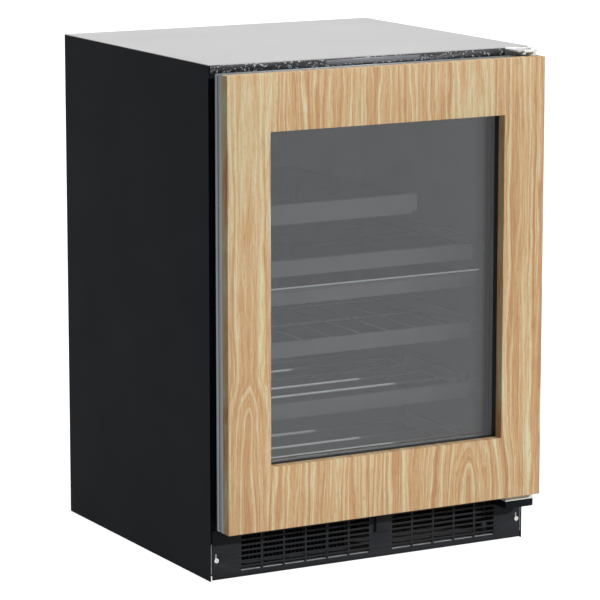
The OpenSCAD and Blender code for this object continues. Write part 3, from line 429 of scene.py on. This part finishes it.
def finishes(tint, wood):
    """One finish for each material slot of the record."""
    return {
        # powder coat on folded sheet: near black and matt, with a fine grain
        "side_sheet": speckled("black_powder_coat", "12151A", "1A1D21", 0.0009, 0.5, 0.00004, gloss=0.05),
        # coil coating: pale grey, even, with soft reflections
        "top_sheet": speckled("grey_coil_coating", "CCCBCB", "D4D3D3", 0.0012, 0.38, 0.000004),
        "galvanised_sheet": galvanised_sheet(),
        # painted galvanised cover: plain dark grey
        "cover_sheet": speckled("dark_grey_paint", "4A4C4E", "56585A", 0.001, 0.45),
        "insulation_foam": poured_foam(),
        # vacuum formed polystyrene: mid grey, even and soft
        "liner_plastic": speckled("formed_grey_liner", "9FA0A4", "A6A7AB", 0.03, 0.5, 0.000004),
        # spark eroded moulding: black, with a fine tooth
        "black_plastic": speckled("black_moulding", "131415", "1D1E1F", 0.0008, 0.48, 0.00005, gloss=0.4),
        # smooth moulded insert: mid grey, a little glossy
        "insert_plastic": speckled("grey_insert", "777980", "818389", 0.004, 0.26, 0.000004),
        "zinc_plate": zinc_plate(),
        # natural nylon: creamy and waxy
        "nylon": speckled("natural_nylon", "D5D2C6", "E4E2D8", 0.003, 0.4),
        # touch panel: black, with sharp reflections
        "control_glass": speckled("gloss_black_panel", "0A0B0C", "101112", 0.01, 0.1, 0.000005, gloss=0.6),
        "light_diffuser": opal_diffuser(),
        # powder coat on roll formed steel: satin grey, with a fine grain
        "slotted_steel": speckled("satin_grey_coat", "9FA1A4", "ACAEB0", 0.0008, 0.36, 0.00003),
        # mill finish fins: pale, with fine lines along them
        "coil_fins": drawn_metal("mill_finish_fins", "A9ACAF", "C9CBCC", 0.34, (0.02, 0.0008, 0.0008)),
        # spacer between the panes: dull bare aluminium
        "spacer_aluminium": drawn_metal("matte_spacer", "8C8E90", "A4A6A8", 0.5),
        # enamel on the motor cans: dark grey and smooth
        "motor_steel": speckled("grey_motor_enamel", "35373A", "404347", 0.002, 0.32),
        # thick enamel on the compressor: black, glossy, slightly wavy
        "compressor_shell": speckled("black_shell_enamel", "141516", "1E1F21", 0.003, 0.24, 0.0001),
        # moulded rubber: black and dull
        "mount_rubber": speckled("mount_rubber", "151515", "1E1E1E", 0.0015, 0.78, 0.00006, gloss=0.25),
        # flame retardant moulding: off-white and satin
        "relay_plastic": speckled("offwhite_moulding", "D8D6CD", "E6E4DC", 0.0015, 0.4),
        # coated condenser fins: black, with a dry grain
        "condenser_fins": speckled("black_fin_coat", "1B1C1D", "27282A", 0.0015, 0.42, 0.00003, gloss=0.4),
        "copper": copper_tube(),
        # low iron glass: clear, with a pale green front edge that carries a painted highlight, an even glow
        "shelf_glass": sheet_glass("clear_shelf_glass", (0.93, 0.96, 0.955), divider_edge, "E4EDE9",
                                   painted_edge_glow=0.3),
        # coated shelf fronts: even satin grey
        "shelf_trim": speckled("satin_coated_front", "B2B3B6", "B9BABD", 0.02, 0.38, 0.000004),
        # epoxy coated wire: very pale grey and smooth
        "rack_wire": speckled("coated_rack_wire", "DEDFE1", "E8E9EB", 0.01, 0.3, 0.000004),
        # anodised door extrusion: satin grey, with lines along its length
        "door_aluminium": drawn_metal("anodised_door_frame", "7F8487", "959A9D", 0.36),
        # double glazing: grey, with dark cut edges and a faint even glow painted on as the studio's
        # reflection
        "tinted_glass": sheet_glass("grey_tinted_glass", tint, pane_edges, "3A3D3C", painted_reflection_glow=0.018),
        # clear oiled white oak: straw to brown, with open pores
        "oak": oiled_oak(tuple(wood.light_wood), tuple(wood.mid_wood), tuple(wood.dark_wood)),
        # extruded vinyl seal: black and slightly soft
        "seal_rubber": speckled("seal_vinyl", "101010", "181818", 0.0015, 0.6, 0.00004, gloss=0.35),
    }


def dress(obj, mat):
    """Gives a piece one finish."""
    obj.data.materials.clear()
    obj.data.materials.append(mat)


def finish_of(slot):
    """The finish that the first step made for a slot."""
    return bpy.data.materials[bpy.context.scene["fridge_finishes"][slot]]


# ---- modelling helpers ----


def select_nothing():
    """Deselects every object."""
    for obj in bpy.context.view_layer.objects:
        obj.select_set(False)


def only(obj):
    """Deselects everything else and makes this the active object."""
    select_nothing()
    bpy.context.view_layer.objects.active = obj
    obj.select_set(True)


def eased(obj, radius, segments=2):
    """Bevels the edges of a piece and smooths it by angle."""
    only(obj)
    if radius > 0:
        mod = obj.modifiers.new("Easing", "BEVEL")
        mod.width = radius
        mod.segments = segments
        mod.limit_method = "ANGLE"
        mod.angle_limit = EASE_ANGLE
        mod.use_clamp_overlap = True
        bpy.ops.object.modifier_apply(modifier=mod.name)
    bpy.ops.object.shade_smooth_by_angle(angle=SMOOTH_ANGLE)


def pick_faces(obj, wanted):
    """Selects the faces whose centre and normal pass the test, in face mode, and opens edit mode."""
    bpy.ops.object.mode_set(mode="EDIT")
    bpy.ops.mesh.select_mode(type="FACE")
    bpy.ops.mesh.select_all(action="DESELECT")
    bpy.ops.object.mode_set(mode="OBJECT")
    for face in obj.data.polygons:
        face.select = wanted(face.center, face.normal)
    bpy.ops.object.mode_set(mode="EDIT")


def framed_panel(name, low, high, window_low, window_high, easing):
    """A slab with a rectangular window through it, its long edges eased."""
    select_nothing()
    bpy.ops.mesh.primitive_cube_add(size=1.0, location=(low + high) / 2, scale=high - low)
    made = bpy.context.active_object
    made.name = name
    made.data.name = name
    bpy.ops.object.transform_apply(location=True, rotation=True, scale=True)
    bpy.ops.object.mode_set(mode="EDIT")
    for axis in (0, 2):
        for place in (window_low[axis], window_high[axis]):
            normal = [0.0, 0.0, 0.0]
            normal[axis] = 1.0
            bpy.ops.mesh.select_all(action="SELECT")
            bpy.ops.mesh.bisect(plane_co=[place * n for n in normal], plane_no=normal)
    bpy.ops.object.mode_set(mode="OBJECT")
    pick_faces(made, lambda c, n: abs(n.y) > 0.9 and window_low.x < c.x < window_high.x
               and window_low.z < c.z < window_high.z)
    bpy.ops.mesh.delete(type="FACE")
    bpy.ops.mesh.select_mode(type="EDGE")
    bpy.ops.mesh.select_all(action="DESELECT")
    bpy.ops.mesh.select_non_manifold(extend=False, use_wire=False, use_boundary=True, use_multi_face=False,
                                     use_non_contiguous=False, use_verts=False)
    bpy.ops.mesh.bridge_edge_loops()
    bpy.ops.mesh.select_all(action="SELECT")
    bpy.ops.mesh.normals_make_consistent(inside=False)
    bpy.ops.object.mode_set(mode="OBJECT")
    eased(made, easing, 3)
    return made


def eased_copy(node, radius, segments=2):
    """A piece that stands for a CAD node, with its sharp edges rounded."""
    source = frame["nodes"][node]
    name = node + "_eased"
    made = bpy.data.objects.new(name, source.data.copy())
    made.data.name = name
    bpy.context.scene.collection.objects.link(made)
    only(made)
    bpy.ops.object.mode_set(mode="EDIT")
    bpy.ops.mesh.select_all(action="SELECT")
    bpy.ops.mesh.remove_doubles(threshold=WELD)
    bpy.ops.mesh.dissolve_limited(angle_limit=math.radians(1))
    bpy.ops.object.mode_set(mode="OBJECT")
    if made.data.has_custom_normals:
        bpy.ops.mesh.customdata_custom_splitnormals_clear()
    eased(made, radius, segments)
    dress(made, finish_of(SLOT_OF[node]))
    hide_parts(node)
    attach(made, source["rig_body"])
    return made


# ---- studio ----


def lay_floor():
    """White paper all round, with shade under the cabinet."""
    bpy.ops.mesh.primitive_plane_add(size=60.0, location=(0.0, 0.0, 0.0))
    floor = bpy.context.active_object
    floor.name = "studio_floor"
    mat, tree, coords = start("studio_paper")
    fibre = lumps(tree, coords, (0.004,) * 3)
    paper = add(tree, "ShaderNodeValToRGB", {"Fac": fibre},
                [(0.3, linear("B6B6B6")), (0.7, linear("BABABA"))])
    # the camera sees white up to a little way under the sheets, and shade beyond that
    place = add(tree, "ShaderNodeSeparateXYZ", {"Vector": coords}).outputs
    middle, half = (SIDES[0] + SIDES[1]) / 2, (SIDES[1] - SIDES[0]) / 2
    within = [add(tree, "ShaderNodeMath", {0: place[axis], 1: middle[axis], 2: half[axis] - UNDER_EDGE},
                  operation="COMPARE").outputs[0] for axis in (0, 1)]
    under = add(tree, "ShaderNodeMath", {0: within[0], 1: within[1]}, operation="MULTIPLY").outputs[0]
    white = add(tree, "ShaderNodeMath", {0: seen_directly(tree), 1: under}, operation="SUBTRACT",
                use_clamp=True)
    shader = add(tree, "ShaderNodeBsdfPrincipled", {
        "Base Color": paper.outputs["Color"], "Roughness": 0.9, "Specular IOR Level": 0.1,
        "Emission Color": (1.0, 1.0, 1.0, 1.0), "Emission Strength": white.outputs[0]})
    add(tree, "ShaderNodeOutputMaterial", {"Surface": shader.outputs["BSDF"]})
    floor.data.materials.append(mat)


def light_world(fill, backdrop):
    """A white world that lights by fill and looks as bright as backdrop."""
    world = bpy.data.worlds.new("studio")
    world.use_nodes = True
    tree = world.node_tree
    tree.nodes.clear()
    level = add(tree, "ShaderNodeMapRange", {
        "Value": seen_directly(tree), "To Min": fill, "To Max": backdrop}).outputs["Result"]
    sky = add(tree, "ShaderNodeBackground", {"Color": (1.0, 1.0, 1.0, 1.0), "Strength": level})
    add(tree, "ShaderNodeOutputWorld", {"Surface": sky.outputs[0]})
    bpy.context.scene.world = world


def hang_sun(name, place, toward, power, spread):
    """A sun lamp that shines from the direction of toward."""
    bpy.ops.object.light_add(type="SUN", location=place)
    sun = bpy.context.active_object
    sun.name = name
    sun.data.energy = power
    sun.data.angle = math.radians(spread)
    sun.rotation_euler = toward.to_track_quat("Z", "Y").to_euler()
    return sun


def share_out(key, glow):
    """The glow lights only the pieces inside the cabinet, and the key lights everything else."""
    lit = bpy.data.collections.new("lit_by_the_cabinet")
    unlit = bpy.data.collections.new("not_lit_by_the_key")
    for obj in bpy.context.scene.objects:
        if obj.type == "MESH" and obj.name.removesuffix("_eased") in INSIDE:
            lit.objects.link(obj)
            unlit.objects.link(obj)
    for entry in unlit.collection_objects:
        entry.light_linking.link_state = "EXCLUDE"
    glow.light_linking.receiver_collection = lit
    key.light_linking.receiver_collection = unlit


# ---- operators ----


class FRIDGE_OT_finishes(bpy.types.Operator):
    """Give every part of the refrigerator its finish"""

    bl_idname = "fridge.finishes"
    bl_label = "Finishes"

    def execute(self, context):
        made = finishes(tuple(context.scene.fridge_cabinet.glass_tint), context.scene.fridge_overlay)
        context.scene["fridge_finishes"] = {slot: mat.name for slot, mat in made.items()}
        for name, node in frame["nodes"].items():
            dress(node, made[SLOT_OF[name]])
        return {"FINISHED"}


class FRIDGE_OT_overlay(bpy.types.Operator):
    """Build the oak overlay round the glass"""

    bl_idname = "fridge.overlay"
    bl_label = "Oak overlay"

    def execute(self, context):
        cfg = context.scene.fridge_overlay
        low, high = STILES
        window_low = Vector((RAILS[0].x, low.y, low.z + cfg.bottom_rail))
        window_high = Vector((RAILS[1].x, high.y, high.z - cfg.top_rail))
        piece = framed_panel("oak_overlay", low, high, window_low, window_high, cfg.easing)
        dress(piece, finish_of("oak"))
        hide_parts("panel_stiles", "panel_rails")
        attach(piece, "door")
        return {"FINISHED"}


class FRIDGE_OT_metalwork(bpy.types.Operator):
    """Round the edges of the folded sheet, extrusions and castings"""

    bl_idname = "fridge.metalwork"
    bl_label = "Metalwork"

    def execute(self, context):
        easing = context.scene.fridge_cabinet.sheet_easing
        for node in ("door_frame", "lower_hinge_bracket", "upper_hinge_plate", "rear_cover"):
            eased_copy(node, easing)
        # the kick plate's powder coat is charcoal, a little lighter than the sides
        charcoal = speckled("charcoal_powder_coat", "1B1D20", "25262A", 0.0009, 0.5, 0.00004, gloss=0.15)
        dress(eased_copy("kick_plate", easing), charcoal)
        return {"FINISHED"}


class FRIDGE_OT_mouldings(bpy.types.Operator):
    """Round the edges of the plastic mouldings and the seal"""

    bl_idname = "fridge.mouldings"
    bl_label = "Mouldings"

    def execute(self, context):
        for node, radius in (("inner_frame", 0.0015), ("door_seal", 0.0016), ("control_box", 0.002),
                             ("relay_cover", 0.003), ("evaporator_cover", 0.0004), ("power_inlet", 0.0005),
                             ("control_panel", 0.0006), ("light_bars", 0.0015), ("fascia_insert", 0.0005)):
            eased_copy(node, radius)
        for end in ("front", "rear"):
            for side in ("left", "right"):
                eased_copy(f"foot_{end}_{side}", 0.0012)
        dress(eased_copy("front_fascia", 0.0005), pebbled_plastic_painted_glints())
        return {"FINISHED"}


class FRIDGE_OT_shelf_fronts(bpy.types.Operator):
    """Round the edges of the shelf and rack fronts"""

    bl_idname = "fridge.shelf_fronts"
    bl_label = "Shelf fronts"

    def execute(self, context):
        easing = context.scene.fridge_cabinet.trim_easing
        for node in ("rack_1_front", "rack_2_front", "rack_3_front", "rack_4_front", "divider_bar",
                     "top_shelf_frame", "slide_rails"):
            eased_copy(node, easing)
        return {"FINISHED"}


class FRIDGE_OT_studio(bpy.types.Operator):
    """Add the floor, the lights and the camera"""

    bl_idname = "fridge.studio"
    bl_label = "Studio"

    def execute(self, context):
        scene = context.scene
        cfg = scene.fridge_studio
        scene.view_settings.view_transform = "Standard"
        select_nothing()
        lay_floor()
        light_world(cfg.fill, cfg.backdrop)

        level = math.cos(cfg.key_rise)
        toward = Vector((
            math.sin(cfg.key_side) * level, -math.cos(cfg.key_side) * level, math.sin(cfg.key_rise)))
        key = hang_sun("key_light", (2.1, -4.0, 2.1), toward, cfg.key_power, spread=1.5)
        # a soft light with no shadows, which evens out the liner and the shelf fronts
        glow = hang_sun("cabinet_light", (-0.2, -0.3, 1.2), Vector((-0.5, -0.5, 0.707)), cfg.cabinet_power,
                        spread=40.0)
        glow.data.use_shadow = False
        share_out(key, glow)

        bpy.ops.object.light_add(type="AREA", location=(0.0, 0.1, 2.6))
        panel = context.active_object
        panel.name = "overhead_panel"
        panel.data.shape = "SQUARE"
        panel.data.size = cfg.top_size
        panel.data.energy = cfg.top_power

        bpy.ops.object.camera_add(location=cfg.camera_place,
                                  rotation=(math.pi / 2 - cfg.pitch, 0.0, -cfg.yaw))
        camera = context.active_object
        camera.name = "front_left_camera"
        camera.data.lens = cfg.lens
        camera.data.sensor_width = 36.0
        camera.data.clip_end = 100.0
        scene.camera = camera
        return {"FINISHED"}


class FRIDGE_PT_looks(bpy.types.Panel):
    """The refrigerator's pieces and finishes"""

    bl_idname = "FRIDGE_PT_looks"
    bl_label = "Refrigerator"
    bl_space_type = "VIEW_3D"
    bl_region_type = "UI"
    bl_category = "Refrigerator"

    def draw(self, context):
        layout = self.layout
        scene = context.scene
        for group in (scene.fridge_cabinet, scene.fridge_overlay, scene.fridge_studio):
            box = layout.box()
            for name in group.__annotations__:
                box.prop(group, name)
        for step in STEPS:
            layout.operator(step.bl_idname)


STEPS = (FRIDGE_OT_finishes, FRIDGE_OT_overlay, FRIDGE_OT_metalwork, FRIDGE_OT_mouldings,
         FRIDGE_OT_shelf_fronts, FRIDGE_OT_studio)
CLASSES = (OverlaySettings, CabinetSettings, StudioSettings, *STEPS, FRIDGE_PT_looks)


def register():
    for cls in CLASSES:
        bpy.utils.register_class(cls)
    bpy.types.Scene.fridge_overlay = bpy.props.PointerProperty(type=OverlaySettings)
    bpy.types.Scene.fridge_cabinet = bpy.props.PointerProperty(type=CabinetSettings)
    bpy.types.Scene.fridge_studio = bpy.props.PointerProperty(type=StudioSettings)


def unregister():
    del bpy.types.Scene.fridge_studio
    del bpy.types.Scene.fridge_cabinet
    del bpy.types.Scene.fridge_overlay
    for cls in reversed(CLASSES):
        bpy.utils.unregister_class(cls)


def main():
    """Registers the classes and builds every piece."""
    register()
    bpy.ops.fridge.finishes()
    bpy.ops.fridge.overlay()
    bpy.ops.fridge.metalwork()
    bpy.ops.fridge.mouldings()
    bpy.ops.fridge.shelf_fronts()
    bpy.ops.fridge.studio()


if __name__ == "__main__":
    main()
